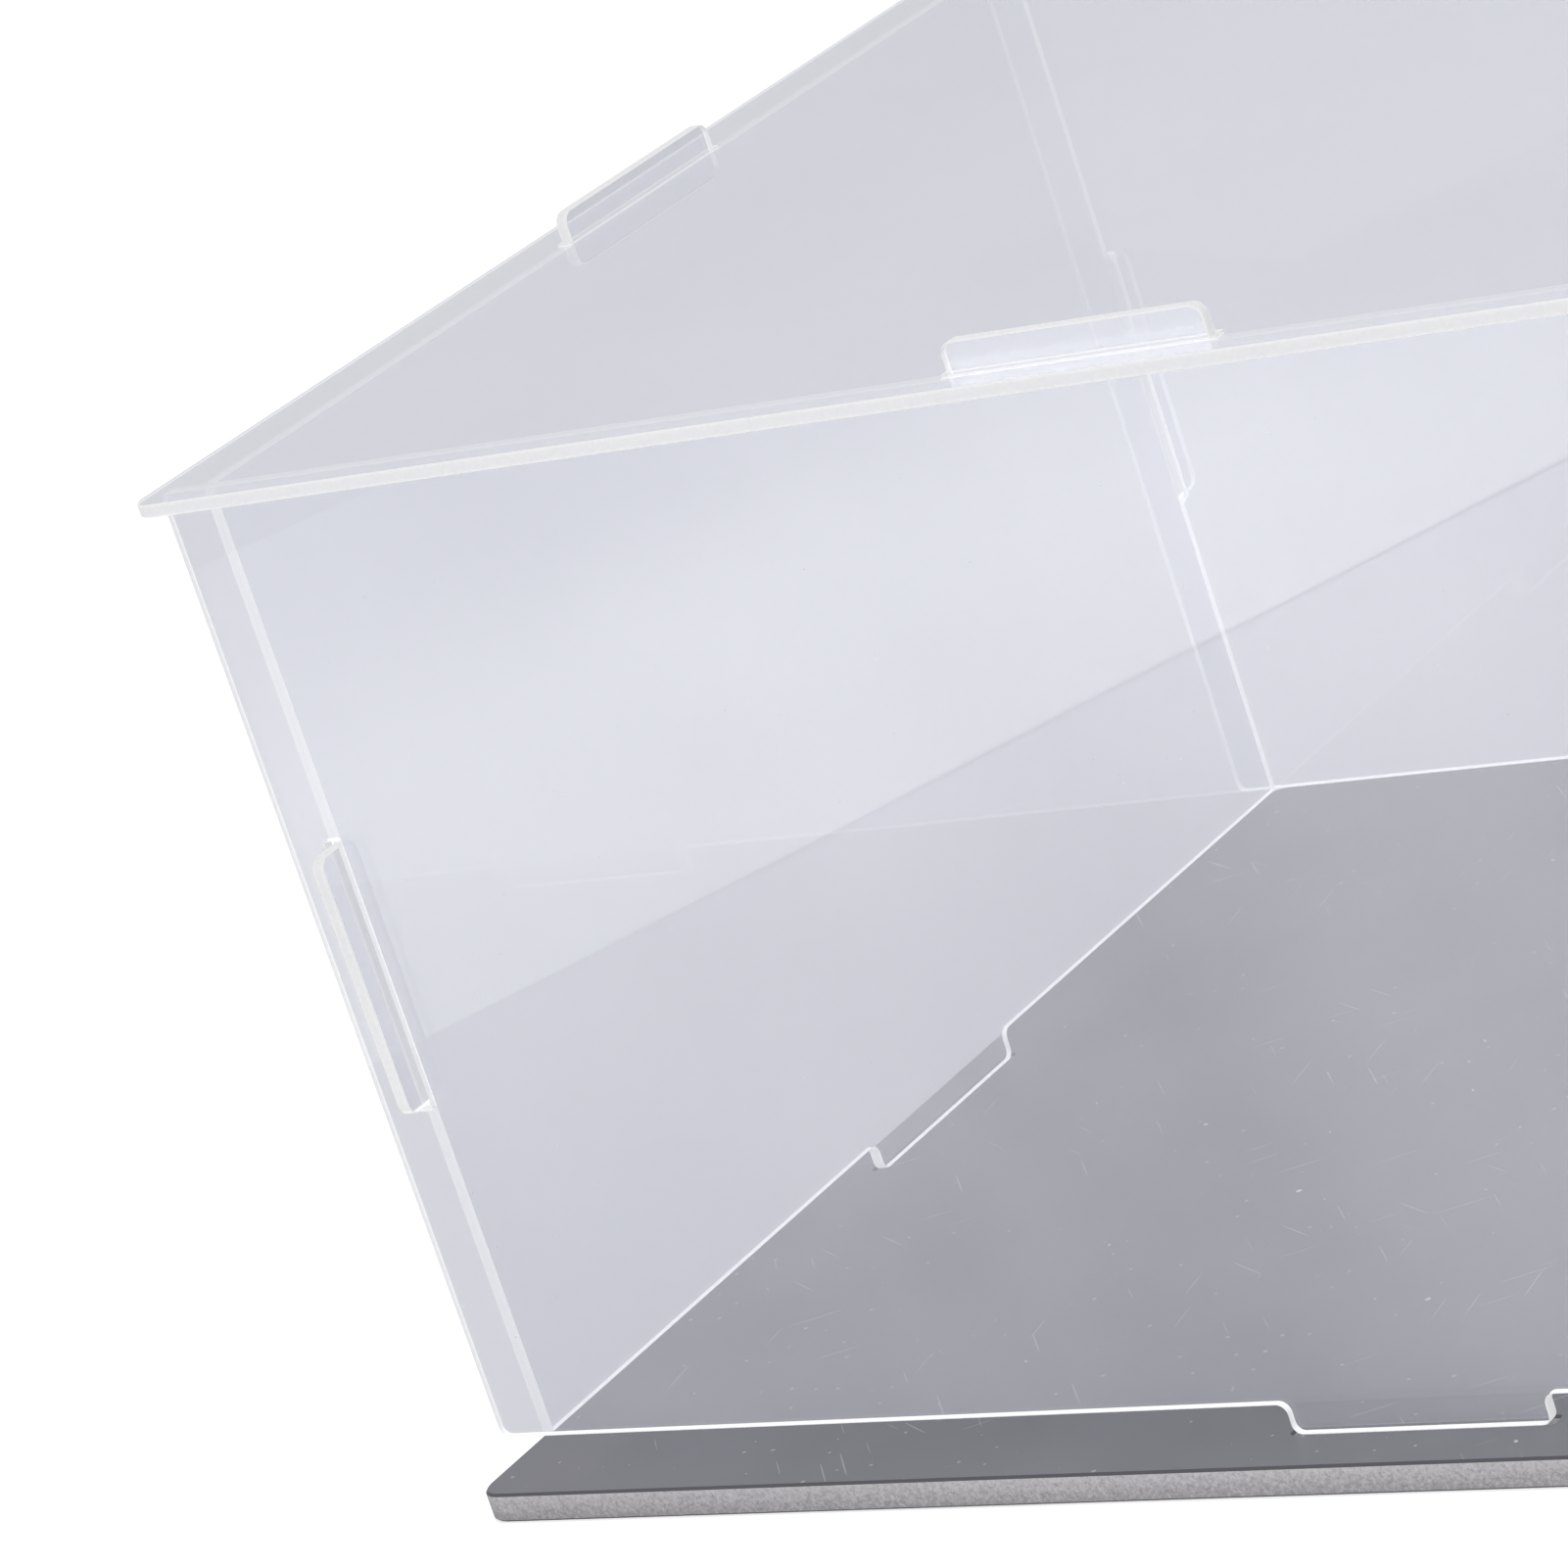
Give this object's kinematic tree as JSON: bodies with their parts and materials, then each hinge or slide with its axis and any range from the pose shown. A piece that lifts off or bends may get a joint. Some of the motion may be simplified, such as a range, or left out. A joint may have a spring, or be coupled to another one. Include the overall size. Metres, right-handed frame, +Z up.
{
  "type": "acrylic display case",
  "caption": "Clear acrylic display case: tab-and-slot walls and a flat top that lift off a dark base plate, enclosing a rectangular space for the thing on show.",
  "frame": {"origin": "middle of the base plate's underside, on the surface that the case stands on", "axes": "+X to the right along the front panel, +Y from the front panel to the back panel, +Z up"},
  "size_m": [0.4112, 0.3272, 0.2141],
  "materials": {
    "dark_base": "dark grey acrylic plate, satin faces with fine scratches, frosted sawn edges",
    "clear_sheet": "clear polished acrylic sheet with bright cut edges"
  },
  "bodies": {
    "base": {"base_plate": "dark_base"},
    "walls": {"front_panel": "clear_sheet", "back_panel": "clear_sheet", "left_panel": "clear_sheet", "right_panel": "clear_sheet"},
    "top": {"top_panel": "clear_sheet"}
  },
  "joints": [
    {"name": "cover_lift", "type": "slide", "parent": "base", "child": "walls", "axis": [0, 0, 1], "range_m": [-0.0042, 0.21]},
    {"name": "top_lift", "type": "slide", "parent": "walls", "child": "top", "axis": [0, 0, 1], "range_m": [0, 0.06]}
  ]
}
